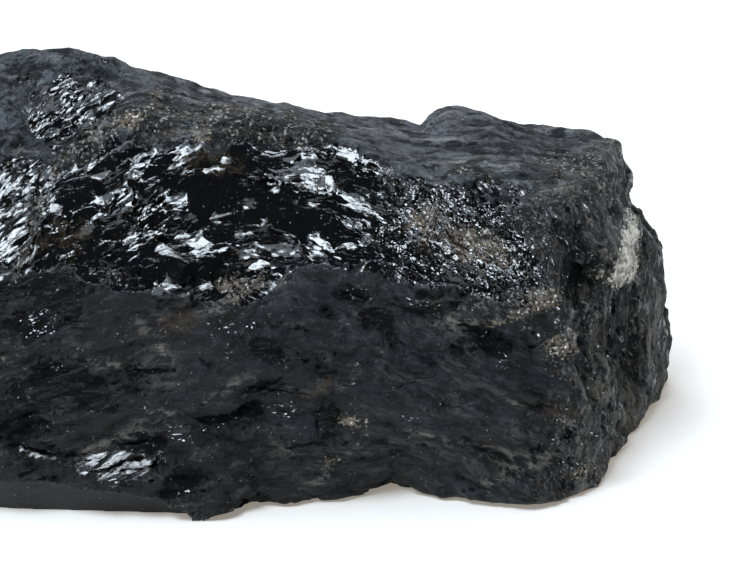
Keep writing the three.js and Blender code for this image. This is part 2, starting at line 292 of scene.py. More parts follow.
shineSpots = [  # and parts that face it
    ((-0.0307, -0.016, 0.0833), (0.0060, 0.016, 0.0040), 20),
    ((-0.0236, -0.012, 0.0880), (0.0070, 0.014, 0.0024), 10),
    ((-0.0250, -0.029, 0.0755), (0.0105, 0.018, 0.0032), 22),
    ((0.0052, -0.012, 0.0882), (0.0130, 0.014, 0.0026), -12),
    ((0.0190, -0.016, 0.0850), (0.0070, 0.014, 0.0040), 0),
    ((0.0195, -0.022, 0.0795), (0.0080, 0.016, 0.0032), 0),
    ((0.0052, -0.020, 0.0795), (0.0042, 0.016, 0.0024), 0),
    ((-0.0150, -0.040, 0.0682), (0.0130, 0.018, 0.0022), 0),
    ((0.0094, -0.036, 0.0668), (0.0034, 0.016, 0.0022), 0),
    ((0.0180, -0.036, 0.0688), (0.0034, 0.016, 0.0020), 0),
    ((-0.0500, -0.030, 0.0755), (0.0034, 0.016, 0.0020), 0),
    ((0.0320, -0.034, 0.0760), (0.0050, 0.016, 0.0040), -30),
    ((0.0560, -0.030, 0.0765), (0.0120, 0.016, 0.0034), -20),
    ((0.0730, -0.036, 0.0720), (0.0060, 0.016, 0.0070), 0),
    ((0.0640, -0.044, 0.0620), (0.0120, 0.016, 0.0050), 0),
]
endShadeSpots = [  # grooves and hollows of the right end, painted nearly black as shade
    ((0.0850, -0.034, 0.0620), (0.0080, 0.020, 0.0135), 0),
    ((0.0990, -0.012, 0.0370), (0.0085, 0.026, 0.0130), 0),
    ((0.0985, 0.004, 0.0690), (0.0050, 0.026, 0.0030), -10),
]
ribSpots = [  # where fine parallel ribs cross the band
    ((-0.027, -0.029, 0.0755), (0.013, 0.02, 0.006), 22),
    ((0.027, -0.030, 0.0755), (0.008, 0.02, 0.004), -12),
    ((0.004, -0.020, 0.079), (0.012, 0.02, 0.004), -28),
    ((-0.066, -0.030, 0.073), (0.010, 0.03, 0.010), 40),
]
glossSpots = [  # broken glassy patches above the band
    ((-0.0500, 0.002, 0.0935), (0.0160, 0.024, 0.0125), -6),
    ((-0.0640, -0.012, 0.0800), (0.0120, 0.020, 0.0040), 10),
    ((-0.0650, -0.030, 0.0710), (0.0110, 0.030, 0.0140), 0),
    ((0.0652, -0.022, 0.0783), (0.0110, 0.006, 0.0030), 0),
]
glintSpots = [  # chips on the lower front that face upwards
    ((-0.0345, -0.061, 0.0160), (0.0135, 0.012, 0.0044), 4),
    ((-0.0285, -0.061, 0.0158), (0.0120, 0.012, 0.0040), 16),
    ((-0.0545, -0.061, 0.0190), (0.0085, 0.012, 0.0018), -14),
]
sparkSpots = [  # where small glints crowd together
    ((-0.0517, -0.058, 0.0530), (0.0080, 0.014, 0.0055), 0),
    ((-0.0478, -0.059, 0.0422), (0.0050, 0.014, 0.0016), 0),
    ((-0.0077, -0.058, 0.0503), (0.0030, 0.014, 0.0020), 0),
    ((-0.0015, -0.057, 0.0522), (0.0065, 0.014, 0.0018), 10),
    ((-0.0421, -0.060, 0.0263), (0.0055, 0.014, 0.0026), 0),
    ((-0.0078, -0.058, 0.0260), (0.0045, 0.014, 0.0022), 0),
    ((-0.0165, -0.059, 0.0245), (0.0045, 0.014, 0.0030), 0),
    ((0.0095, -0.057, 0.0297), (0.0045, 0.014, 0.0030), -20),
    ((0.0421, -0.053, 0.0265), (0.0055, 0.014, 0.0018), -10),
    ((0.0380, -0.053, 0.0168), (0.0025, 0.014, 0.0012), 0),
    ((0.0662, -0.052, 0.0415), (0.0035, 0.014, 0.0026), 0),
    ((0.0764, -0.048, 0.0465), (0.0045, 0.014, 0.0018), -8),
    ((0.0814, -0.046, 0.0405), (0.0045, 0.014, 0.0048), 0),
    ((0.0814, -0.046, 0.0195), (0.0035, 0.014, 0.0032), 0),
    ((0.0280, -0.052, 0.0585), (0.0035, 0.014, 0.0018), -20),
    ((0.0455, -0.050, 0.0560), (0.0060, 0.014, 0.0014), -20),
    ((-0.0349, -0.061, 0.0112), (0.0045, 0.014, 0.0014), 0),
    ((-0.0165, -0.059, 0.0085), (0.0032, 0.014, 0.0022), 0),
]
tanSpots = [  # crushed, tan and granular
    ((-0.0134, -0.008, 0.0897), (0.0045, 0.014, 0.0040), 10),
    ((-0.0327, -0.006, 0.0930), (0.0060, 0.012, 0.0028), 30),
    ((-0.0014, -0.044, 0.0590), (0.0100, 0.014, 0.0050), 12),
    ((0.0276, -0.057, 0.0260), (0.0028, 0.010, 0.0060), 78),
    ((0.0218, -0.057, 0.0134), (0.0055, 0.010, 0.0028), 25),
    ((0.0596, -0.040, 0.0690), (0.0120, 0.014, 0.0075), -28),
    ((0.0454, -0.036, 0.0725), (0.0060, 0.012, 0.0060), -20),
    ((0.0755, -0.045, 0.0550), (0.0085, 0.012, 0.0045), 15),
    ((0.0690, -0.046, 0.0520), (0.0110, 0.012, 0.0020), 12),
    ((0.0826, -0.044, 0.0430), (0.0045, 0.012, 0.0085), 70),
    ((0.0885, -0.043, 0.0075), (0.0060, 0.012, 0.0045), 40),
    ((0.0987, -0.011, 0.0580), (0.0040, 0.012, 0.0030), -20),
]
paleSpots = [  # nearly white
    ((0.1025, -0.013, 0.0570), (0.0115, 0.036, 0.0095), -30),
    ((0.1060, 0.000, 0.0465), (0.0035, 0.024, 0.0060), 0),
]
streakAndGlintSpots = [  # pale streaks along the top, the third of them a painted glint line
    ((0.0476, 0.021, 0.0806), (0.0120, 0.007, 0.0030), 0),
    ((0.0560, 0.043, 0.0820), (0.0070, 0.006, 0.0040), -15),
    # a painted glint line
    ((0.0520, -0.004, 0.0804), (0.0080, 0.003, 0.0030), 0),
    ((0.0290, 0.018, 0.0840), (0.0120, 0.006, 0.0030), 0),
    ((0.0700, 0.020, 0.0790), (0.0080, 0.004, 0.0030), 0),
]
rimSpots = [  # pale fibrous parts of the right end
    ((0.1130, 0.012, 0.0240), (0.0040, 0.030, 0.0170), -12),
    ((0.1050, -0.004, 0.0110), (0.0085, 0.026, 0.0080), 20),
    ((0.0930, -0.036, 0.0300), (0.0030, 0.016, 0.0160), -12),
    ((0.1050, 0.000, 0.0640), (0.0070, 0.026, 0.0024), -20),
]
grainSpots = [  # dark brown grain along the crest
    ((-0.0230, -0.002, 0.0925), (0.015, 0.015, 0.0075), 0),
    ((-0.0050, 0.000, 0.0915), (0.020, 0.018, 0.0075), 0),
    ((0.0140, 0.002, 0.0890), (0.015, 0.016, 0.0075), 0),
    ((-0.0420, -0.008, 0.0865), (0.010, 0.005, 0.005), 35),
    ((-0.0560, -0.030, 0.0740), (0.0030, 0.030, 0.013), 0),
    ((0.0930, 0.000, 0.0785), (0.018, 0.024, 0.008), 0),
    ((0.0560, -0.018, 0.0800), (0.012, 0.004, 0.006), 0),
]
brownSpots = [  # thin enough to show brown
    ((-0.0457, -0.044, 0.0700), (0.0160, 0.022, 0.0060), 5),
    ((0.0520, -0.038, 0.0700), (0.0150, 0.020, 0.0080), -20),
    ((-0.0170, -0.060, 0.0540), (0.0090, 0.012, 0.0035), 0),
    ((0.0194, -0.056, 0.0352), (0.0060, 0.012, 0.0030), 30),
    ((0.0790, -0.048, 0.0260), (0.0120, 0.012, 0.0040), -20),
    ((0.0950, -0.010, 0.0560), (0.0050, 0.014, 0.0060), 0),
    ((-0.0100, -0.015, 0.0840), (0.0140, 0.014, 0.0040), -10),
]
grainSeams = [
    ([(-0.0580, 0.0640), (-0.0556, 0.0690), (-0.0536, 0.0800), (-0.0464, 0.0875), (-0.0381, 0.0915),
      (-0.0331, 0.0945), (-0.0252, 0.0965)], 0.0030),
]
hazySeams = [  # faint pale veins
    ([(-0.0510, 0.0115), (-0.0434, 0.0172), (-0.0370, 0.0215), (-0.0319, 0.0238), (-0.0241, 0.0257),
      (-0.0177, 0.0276)], 0.0022),
    ([(0.0501, 0.0517), (0.0591, 0.0503), (0.0655, 0.0530), (0.0706, 0.0557)], 0.0032),
    ([(0.0360, 0.0590), (0.0424, 0.0573), (0.0488, 0.0552)], 0.0012),
    ([(0.0680, 0.0306), (0.0770, 0.0287), (0.0860, 0.0266)], 0.0014),
    ([(0.0560, 0.0555), (0.0640, 0.0560), (0.0788, 0.0550)], 0.0030),
    ([(-0.0024, 0.0250), (0.0042, 0.0236), (0.0093, 0.0196), (0.0143, 0.0169)], 0.0016),
    ([(0.0150, 0.0060), (0.0200, 0.0085), (0.0245, 0.0130), (0.0290, 0.0190)], 0.0018),
    ([(0.0420, 0.0230), (0.0560, 0.0180), (0.0700, 0.0150), (0.0880, 0.0100)], 0.0022),
    ([(0.0620, 0.0070), (0.0740, 0.0120), (0.0860, 0.0180), (0.0920, 0.0240)], 0.0020),
    ([(0.0527, 0.0209), (0.0578, 0.0177), (0.0629, 0.0150), (0.0706, 0.0096)], 0.0014),
    ([(-0.0260, 0.0530), (-0.0215, 0.0490), (-0.0185, 0.0440)], 0.0026),
    ([(-0.0420, 0.0460), (-0.0360, 0.0436), (-0.0300, 0.0430)], 0.0012),
    ([(-0.0620, 0.0449), (-0.0540, 0.0420), (-0.0440, 0.0395)], 0.0010),
    ([(-0.0300, 0.0290), (-0.0180, 0.0310), (-0.0090, 0.0345), (0.0000, 0.0400)], 0.0016),
    ([(-0.0105, 0.0565), (0.0000, 0.0590), (0.0070, 0.0610), (0.0116, 0.0625)], 0.0026),
]

dents = [  # larger hollows in the right end, and how deep they are
    (((0.0990, -0.012, 0.0370), (0.0110, 0.026, 0.0160), 0), 0.0038),
    (((0.1050, 0.008, 0.0680), (0.0140, 0.032, 0.0034), -20), 0.0032),
    (((0.0860, -0.036, 0.0610), (0.0060, 0.016, 0.0140), 12), 0.0036),
]

relief = {
    # Metres from the lowest to the highest of each, the size of one, and the number of its pattern.
    "bigPoints": (0.0034, (0.014, 0.009, 0.006), 1),
    "points": (0.0020, (0.0075, 0.0045, 0.0026), 2),
    "smallPoints": (0.0008, (0.0036, 0.0024, 0.0014), 3),
    "plates": (0.0020, (0.032, 0.014, 0.011), 4),
    "chips": (0.0011, (0.009, 0.006, 0.0034), 5),
    "topPlates": (0.0020, (0.034, 0.013, 0.013), 6),
    "flutes": (0.0030, (0.0080, 0.0080, 0.0300), 7),
    "endChips": (0.0008, (0.0034, 0.0034, 0.0070), 8),
    "bowls": (0.0040, (0.019, 0.015, 0.013), 9),
    "backChips": (0.0012, (0.0060, 0.0050, 0.0040), 10),
    "topChips": (0.0013, (0.011, 0.005, 0.004), 14),
    "splinters": (0.0011, (0.0042, 0.0026, 0.0015), 15),
    # And of these the metres alone.
    "ribs": 0.0010, "ledges": 0.0007, "streaks": 0.0016, "fibres": 0.0010, "grain": 0.0004,
    "seams": 0.0004, "pits": 0.0010, "patches": 0.0007,
    "ribSlopes": [(-0.03, 0.38), (0.03, -0.35)],  # (x, how steeply the ribs rise there)
    "ribPace": 3300, "ribWaver": 16,  # radians for each metre across them, and how far they stray
    "ledgeCount": 8,
    "weld": 0.00001, "voxel": 0.00065, "triangles": 190000, "smoothAngle": 28,
    "footHeight": 0.0025,  # over which the relief fades out above the rest face
}


def cellPlace(place, size, seed):
    return (place + (seed * 0.13, seed * 0.07, seed * 0.11)) / size


# Flat-sided points and ridges, with creases between them.
def pointsAt(t, place, name):
    height, size, seed = relief[name]
    return (0.45 - t.cells(cellPlace(place, size, seed), "Distance", "MANHATTAN")) * height


# Shallow bowls that meet in sharp crests.
def bowlsAt(t, place, name):
    height, size, seed = relief[name]
    return t.cells(cellPlace(place, size, seed), "Distance") ** 2 * height


def reliefHeight(t, place):
    here = surveyAt(t, place)
    arched, swept, drifted = bentPlaces(t, place)
    # The glassy band and the other glassy places.
    calm = spotsAt(t, here, calmSpots)
    ribbed = spotsAt(t, here, ribSpots)
    glossy = t.most(spotsAt(t, here, glossSpots), spotsAt(t, here, glintSpots))
    broken = t.most(here["band"] * (1 - calm * 0.9), glossy)
    height = broken * (
        pointsAt(t, swept, "bigPoints") * (1 - glossy * 0.8)
        + pointsAt(t, swept, "points") * (1 - glossy * 0.5)
        + pointsAt(t, swept, "smallPoints")
    )
    acrossRibs = here["z"] - here["x"] * t.line(here["x"], relief["ribSlopes"])
    acrossRibs = acrossRibs * relief["ribPace"] + here["ragged"] * relief["ribWaver"]
    height = height + ribbed * t.maths("SINE", acrossRibs) * (relief["ribs"] / 2)
    # The lower front.
    plates = bowlsAt(t, arched, "plates")
    chips = pointsAt(t, arched, "chips")
    layer = t.noise(arched / (3.5, 1.0, 1.0), 0.008, 2) * relief["ledgeCount"]
    ledges = t.maths("FLOOR", layer) + t.smooth(t.maths("FRACT", layer), 0.55, 1.0)
    ledges = ledges * relief["ledges"]
    seams = seamsAt(t, here, grainSeams) * relief["seams"]
    patches = patchesAt(t, here, arched)
    splinters = pointsAt(t, arched, "splinters")
    lower = plates + chips + ledges + patches * (splinters - relief["patches"])
    height = height + here["front"] * lower + seams - glossy * relief["pits"]
    # The top.
    streaks = t.noise(drifted / (5.0, 2.0, 1.0), 0.004, 3) * relief["streaks"]
    topPlates = bowlsAt(t, drifted, "topPlates")
    topChips = pointsAt(t, drifted, "topChips")
    height = height + here["top"] * (streaks + topPlates + topChips)
    # The right end.
    flutes = bowlsAt(t, drifted, "flutes")
    endChips = pointsAt(t, drifted, "endChips")
    fibres = (t.noise(drifted / (1.0, 1.0, 6.0), 0.0016, 3, 0.6) - 0.5) * relief["fibres"]
    height = height + here["end"] * (flutes + endChips + fibres)
    # The back and the left end, and what is the same all over.
    bowls = bowlsAt(t, drifted, "bowls")
    backChips = pointsAt(t, drifted, "backChips")
    height = height + here["hidden"] * (bowls + backChips)
    for spot, depth in dents:
        height = height - spotAt(t, here, spot, 0.95) * depth
    grain = (t.noise(place, 0.0022, 3, 0.6) - 0.5) * relief["grain"]
    return (height + grain) * t.smooth(here["z"], 0.0002, relief["footHeight"])


def newGeometryTree(name):
    made = bpy.data.node_groups.new(name, "GeometryNodeTree")
    made.interface.new_socket("Geometry", in_out="INPUT", socket_type="NodeSocketGeometry")
    made.interface.new_socket("Geometry", in_out="OUTPUT", socket_type="NodeSocketGeometry")
    return made, Tree(made)


# Writes the shares of each finish on the mesh, for the finish to read.
def makeShareTree():
    made, t = newGeometryTree("finishShares")
    here = surveyAt(t, t.node("GeometryNodeInputPosition"))
    arched = bentPlaces(t, here["place"])[0]
    shares = {name: here[name] for name in ("band", "top", "front", "end", "hidden", "lip")}
    spots = {
        "calm": (calmSpots, 0.5), "gloss": (glossSpots, 0.5), "glint": (glintSpots, 0.6),
        "tan": (tanSpots, 0.8), "pale": (paleSpots, 0.8), "brown": (brownSpots, 0.9),
        "grainy": (grainSpots, 0.8), "shine": (shineSpots, 0.8), "rim": (rimSpots, 0.8),
        "streak": (streakAndGlintSpots, 0.8), "sparks": (sparkSpots, 0.7), "night": (nightSpots, 0.8),
        "endDark": (endShadeSpots, 0.9),
    }
    shares.update({name: spotsAt(t, here, places, soft) for name, (places, soft) in spots.items()})
    shares["hazySeam"] = seamsAt(t, here, hazySeams)
    shares["grainSeam"] = seamsAt(t, here, grainSeams)
    shares["patch"] = patchesAt(t, here, arched)
    shape = t.node("NodeGroupInput")
    for name, share in shares.items():
        settings = {"data_type": "FLOAT", "domain": "POINT"}
        inputs = {"Geometry": shape, "Name": name, "Value": share}
        shape = t.node("GeometryNodeStoreNamedAttribute", settings, inputs)
    t.node("NodeGroupOutput", None, {"Geometry": shape}, None)
    return made


def makeReliefTree():
    made, t = newGeometryTree("stoneRelief")
    place = t.node("GeometryNodeInputPosition")
    moved = place + t.node("GeometryNodeInputNormal") * reliefHeight(t, place)
    x, y, z = t.split(moved)
    moved = t.vector(x, y, t.most(z, 0.0))  # nothing sinks under the rest face
    inputs = {"Geometry": t.node("NodeGroupInput"), "Position": moved}
    shaped = t.node("GeometryNodeSetPosition", None, inputs)
    t.node("NodeGroupOutput", None, {"Geometry": shaped}, None)
    return made


def applyModifier(piece, name, kind, **settings):
    modifier = piece.modifiers.new(name, kind)
    for setting, value in settings.items():
        setattr(modifier, setting, value)
    bpy.ops.object.modifier_apply(modifier=name)
    print(name, "done:", len(piece.data.polygons), "faces")


def makeStone():
    piece = bpy.data.objects.new("morionStone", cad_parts["morion_lump"].data.copy())
    bpy.context.scene.collection.objects.link(piece)
    bpy.ops.object.select_all(action="DESELECT")
    piece.select_set(True)
    bpy.context.view_layer.objects.active = piece
    bpy.ops.object.mode_set(mode="EDIT")
    bpy.ops.mesh.select_all(action="SELECT")
    bpy.ops.mesh.remove_doubles(threshold=relief["weld"])
    bpy.ops.object.mode_set(mode="OBJECT")
    applyModifier(piece, "evenFaces", "REMESH", mode="VOXEL", voxel_size=relief["voxel"])
    applyModifier(piece, "softCreases", "SMOOTH", factor=0.5, iterations=3)
    applyModifier(piece, "stoneRelief", "NODES", node_group=makeReliefTree())
    share = relief["triangles"] / (2 * len(piece.data.polygons))  # each face is two triangles
    applyModifier(piece, "fewerFaces", "DECIMATE", ratio=share)
    applyModifier(piece, "finishShares", "NODES", node_group=makeShareTree())
    bpy.ops.object.shade_smooth_by_angle(angle=math.radians(relief["smoothAngle"]))
    return piece


finish = {
    # Colours.
    # The top's frost colour is lighter than the front's: painted light falling on the top from above.
    "frost": (0.0095, 0.0115, 0.0138), "topFrostPaintedLight": (0.052, 0.059, 0.066),
    # The near-black top colour is painted shade in the cracks of the rough top.
    "topPale": (0.190, 0.190, 0.188), "topShade": (0.005, 0.006, 0.007),
    # The lip's colour is lighter than the frost: painted bounce light from the table on the smooth
    # underside.
    "glass": (0.0020, 0.0025, 0.0032), "lip": (0.021, 0.0235, 0.026),
    "endFrost": (0.0075, 0.0080, 0.0090), "endStreak": (0.140, 0.128, 0.110),
    # The end's near-black colour serves its dark fibres, and painted shade in its grooves and hollows.
    "endDark": (0.003, 0.003, 0.004), "fleck": (0.0020, 0.0024, 0.003),
    "brown": (0.036, 0.026, 0.0165), "tan": (0.205, 0.166, 0.122), "pale": (0.950, 0.890, 0.800),
    "grain": (0.110, 0.099, 0.082), "grainDark": (0.0060, 0.0056, 0.0048),
    "veil": (0.058, 0.056, 0.052), "haze": (0.150, 0.138, 0.118),
    # The size of one facet or grain, in metres.
    "facetSize": (0.0095, 0.0050, 0.0026), "smallFacetSize": (0.0032, 0.0020, 0.0009),
    "grainSize": (0.0007, 0.0007, 0.0007), "sparkSize": (0.0008, 0.00045, 0.00032),
    # How far each turns the surface.
    "facetTilt": (0.50, 0.50, 0.15), "facetRise": 0.95, "smallFacetTilt": (0.30, 0.30, 0.36),
    "facetCurve": 0.30, "ripple": 0.60, "tinyTilt": 0.55, "frostTilt": 0.10, "sparkTilt": 0.35,
    "crushTilt": 0.9, "bumpDepth": 0.00030, "bumpStrength": 0.9,
    "darkFacing": (-0.10, -0.93, 0.35), "brightFacing": (-0.17, -0.78, 0.60),  # where facets tend
    "bandSquash": (1.0, 1.0, 0.55),  # the band's own slope shows less
    # How rough and how glossy.
    "frostRough": 0.50, "fleckRough": 0.28, "glassRough": 0.09, "crushRough": 0.42, "sparkRough": 0.2,
    "frostSpecular": 0.20, "glassSpecular": 0.62, "matteSpecular": 0.04, "ior": 1.54,
}


# A small turn of the normal that is the same all over one facet, and the facet's own random colour.
def facetTurn(t, place, size, seed):
    cell = cellPlace(place, size, seed)
    tint = t.cells(cell)
    return (tint - 0.5) + (cell - tint.other("Position")) * finish["facetCurve"], tint


def makeFinish():
    made = bpy.data.materials.new("morion")
    made.use_nodes = True
    made.node_tree.nodes.clear()
    t = Tree(made.node_tree)
    place = t.node("ShaderNodeTexCoord", None, None, "Object")
    arched, swept, drifted = bentPlaces(t, place)
    speckle = t.noise(place, 0.0009, 3, 0.7) - 0.5
    mottle = t.noise(drifted, 0.006, 5, 0.7) - 0.5
    grit = t.noise(arched / (1.7, 1.2, 1.0), 0.0026, 5, 0.78) - 0.5
    medium, mediumTint = facetTurn(t, swept, finish["facetSize"], 11)
    small = facetTurn(t, swept, finish["smallFacetSize"], 12)[0]
    tiny, tinyTint = facetTurn(t, place, finish["grainSize"], 13)
    granule, granuleToo = t.split(tinyTint)[:2]
    sparkTurn, sparkTint = facetTurn(t, arched, finish["sparkSize"], 14)
    chance = t.split(sparkTint)[2]

    def written(name):  # the share on the mesh
        return t.node("ShaderNodeAttribute", {"attribute_name": name}, None, "Fac")

    def share(name, crisp=0.0):  # the same, with its edge broken up by the grain
        return t.smooth(written(name) + (speckle + mottle) * crisp, 0.35, 0.65)

    def crush(name, grains, fullness=1.0):  # the same, in grains with dark gaps
        amount = written(name) * fullness + (grains - 0.5) * 0.7 + mottle * 0.7 + speckle * 1.8
        return t.smooth(amount, 0.50, 0.85)

    band, front, top, end, hidden = [share(name, 1.0) for name in ("band", "front", "top", "end", "hidden")]
    calm, glint = share("calm", 0.5), share("glint", 1.0)
    gloss = t.most(share("gloss", 1.0), glint)

    # Shares of the finishes.
    fleck = front * t.smooth(written("patch") + mottle * 1.3 + grit * 3.5 + speckle * 0.6, 0.25, 0.75)
    lip = share("lip", 0.2)
    lines = t.noise(arched / (7.0, 3.0, 1.0), 0.0012, 4, 0.7)
    streaky = t.noise(drifted / (5.0, 2.0, 1.0), 0.0030, 6, 0.75)
    # Painted shade: dark patches on the top for the shadows in its rough cracks, more of them towards the
    # right.
    crackShadeNoise = t.noise(drifted / (1.8, 1.2, 1.0), 0.0050, 6, 0.75)
    crackShadeNoise = crackShadeNoise + t.smooth(t.split(place)[0], 0.05, 0.085) * 0.05
    upright = t.noise(drifted / (1.0, 1.0, 3.5), 0.0026, 6, 0.75)
    fibres = t.noise(drifted / (1.0, 1.0, 8.0), 0.0010, 4, 0.7)
    endGloss = end * t.smooth(upright + mottle * 0.5, 0.50, 0.44) * (1 - written("rim"))
    hiddenGloss = hidden * t.smooth(t.noise(drifted, 0.030, 3), 0.47, 0.53)
    glass = t.most(t.most(band, gloss), t.most(endGloss, hiddenGloss))
    sparkly = t.smooth(t.split(place)[0], 0.028, 0.044) * band  # where the facets are very small
    grainy = t.most(share("grainy", 1.6), share("grainSeam", 1.6))
    glass = t.most(glass, grainy * 0.55)
    grainTone = streaky + speckle * 0.5 + granule * 0.12 + share("grainSeam", 0.5) * 0.08
    grainTone = t.smooth(grainTone, 0.58, 0.76)
    tan = crush("tan", granule, 0.76)
    crushed = t.most(tan, grainy * 0.8)
    paleStreaks = t.smooth(upright + fibres * 0.6 + grit * 0.5, 0.72, 0.86)
    pale = crush("pale", granuleToo, 1.4) * (0.40 + paleStreaks * 0.60)
    pale = t.most(pale, (tan + grainy * 0.4) * t.smooth(granuleToo, 0.84, 0.94) * 0.7)
    crushed = t.most(crushed, pale)
    brown = share("brown", 1.6) * t.smooth(grit, -0.08, 0.06) * 0.85
    wisps = t.noise(arched / (3.0, 1.0, 1.0), 0.0055, 7, 0.75)
    veil = t.smooth(wisps + grit * 0.8, 0.52, 0.70) * (1 - glass)
    haze = written("hazySeam") * t.smooth(wisps + grit * 1.8, 0.44, 0.66) * 0.80

    # Colour.
    leftness = t.smooth(t.split(place)[0], 0.060, -0.030)
    clouds = t.noise(arched / (2.0, 1.0, 1.0), 0.010, 7, 0.72) - 0.5
    tone = clouds * 3.2 + grit * 8.0 + speckle * 1.5 + 1
    # The top gets the lighter frost colour: painted light from above.
    colour = t.mix(top, finish["frost"], finish["topFrostPaintedLight"]) * t.most(tone, 0.2)
    colour = colour * (1 - front * leftness * 0.60)
    colour = t.mix(top * t.smooth(streaky + grit * 0.3, 0.54, 0.62) * 0.8, colour, finish["topPale"])
    # Painted shade in the cracks of the rough top.
    topCrackShade = top * t.smooth(crackShadeNoise + grit * 0.3, 0.505, 0.545)
    colour = t.mix(topCrackShade * 0.85, colour, finish["topShade"])
    # Pale streaks on the top; one of them is a painted glint line.
    colour = t.mix(top * written("streak") * t.smooth(streaky, 0.38, 0.60), colour, finish["topPale"])
    colour = t.mix(veil * 0.7, colour, finish["veil"])
    colour = t.mix(haze, colour, finish["haze"])
    colour = t.mix(fleck, colour, finish["fleck"])
    worn = t.most(front, top)
    colour = t.mix(worn * t.smooth(lines, 0.41, 0.35) * 0.8, colour, finish["fleck"])
    colour = t.mix(worn * t.smooth(lines, 0.60, 0.70) * (0.5 + top), colour, finish["veil"])
    # The smooth underside takes a lighter colour: painted bounce light from the table.
    colour = t.mix(lip, colour, finish["lip"])
    # Painted shade: the grooves and hollows of the right end are coloured nearly black.
    endDark = written("endDark")
    colour = t.mix(end, colour, finish["endFrost"])
    colour = t.mix(endDark * 0.8, colour, finish["endDark"])
    colour = t.mix(end * t.smooth(upright + speckle * 0.6, 0.47, 0.40) * 0.8, colour, finish["endDark"])
    streaks = end * t.smooth(upright + speckle * 0.6, 0.52, 0.64) * (1 - endDark) * 0.8
    colour = t.mix(streaks, colour, finish["endStreak"])
    threads = end * t.smooth(fibres + grit * 0.4, 0.56, 0.66) * (1 - endDark * 0.6) * 0.8
    colour = t.mix(threads, colour, finish["endStreak"])
    rim = end * written("rim") * t.smooth(upright + fibres, 0.92, 1.06)
    colour = t.mix(rim, colour, finish["endStreak"])
    colour = t.mix(glass, colour, finish["glass"])
    colour = t.mix(grainy, colour, t.mix(grainTone, finish["grainDark"], finish["grain"]))
    colour = t.mix(brown, colour, finish["brown"])
    colour = t.mix(tan * 0.85, colour, finish["tan"])
    colour = t.mix(pale * 0.9, colour, finish["pale"])

    # Which way each facet faces.
    night = t.smooth(written("night") + mottle, 0.2, 0.7)
    uneven = glass * (1 - t.most(calm * 0.85, night * 0.5))
    crowded = t.smooth(written("sparks"), 0.2, 0.8) * 0.10
    crowded = crowded + t.smooth(t.noise(arched, 0.009, 3), 0.60, 0.68) * 0.007
    crowded = crowded + end * 0.04 + grainy * 0.06
    spark = t.smooth(chance + crowded, 1.004, 1.008) * (1 - band) * (1 - lip)
    shine = t.smooth(written("shine") + mottle * 0.9, 0.25, 0.75) * band
    dark = t.most(band * (0.58 + t.most(calm, night) * 0.32), fleck * 0.9)
    turned = band * t.smooth(t.split(mediumTint)[1], 0.44, 0.50) * (1 - shine * 0.8) * (1 - sparkly * 0.6)
    uneven = uneven * (1 - turned * 0.65)  # whole facets that face away
    dark = t.most(dark, turned * 0.92)
    dark = t.most(dark, endDark * 0.7)
    dark = t.most(dark, front * (leftness * 0.4 + 0.05))
    outward = t.node("ShaderNodeTexCoord", None, None, "Normal")
    outward = outward * t.mix(band, (1.0, 1.0, 1.0), finish["bandSquash"])
    facing = t.mix(dark, outward, finish["darkFacing"])
    bright = t.most(t.most(glint * 0.87, gloss * 0.80), t.most(spark * 0.85, shine * 0.6))
    facing = t.mix(bright, facing, finish["brightFacing"])
    riseShare = t.split(mediumTint)[2]
    rise = t.vector(0.0, 0.0, (riseShare * riseShare - 0.15) * finish["facetRise"])
    uneven = uneven * (1 - glint * 0.55)
    ripple = (t.noise(swept / (4.0, 1.5, 1.0), 0.0020, 3, output=1) - 0.5) * finish["ripple"]
    larger = medium * finish["facetTilt"] + rise * (1 - t.most(gloss, shine * 0.7)) * (1 - night * 0.6)
    turn = (larger * (1 - sparkly * 0.5 - gloss * 0.4) + ripple) * (uneven + finish["frostTilt"])
    turn = turn + small * finish["smallFacetTilt"] * (
        uneven * (1 + sparkly * 0.5 + gloss * 0.8) + finish["frostTilt"] + crushed
    )
    turn = turn + tiny * (sparkly + grainy) * finish["tinyTilt"]
    turn = turn + sparkTurn * spark * finish["sparkTilt"] + tiny * crushed * finish["crushTilt"]
    facing = t.maths("NORMALIZE", facing + turn)
    settings = {"vector_type": "NORMAL", "convert_from": "OBJECT", "convert_to": "WORLD"}
    facing = t.node("ShaderNodeVectorTransform", settings, {"Vector": facing})
    fine = t.noise(arched / (2.0, 1.0, 1.0), 0.0014, 4, 0.7) + grit * 4.0 + speckle * 0.6
    fine = fine + end * (upright + fibres) - fleck * 0.3
    fine = fine + worn * t.smooth(lines, 0.36, 0.42) * 0.25
    fine = fine * (1 - fleck * 0.75) * (1 - t.most(glass, spark) * 0.93)
    inputs = {"Strength": finish["bumpStrength"], "Distance": finish["bumpDepth"]}
    facing = t.node("ShaderNodeBump", None, {**inputs, "Height": fine, "Normal": facing})

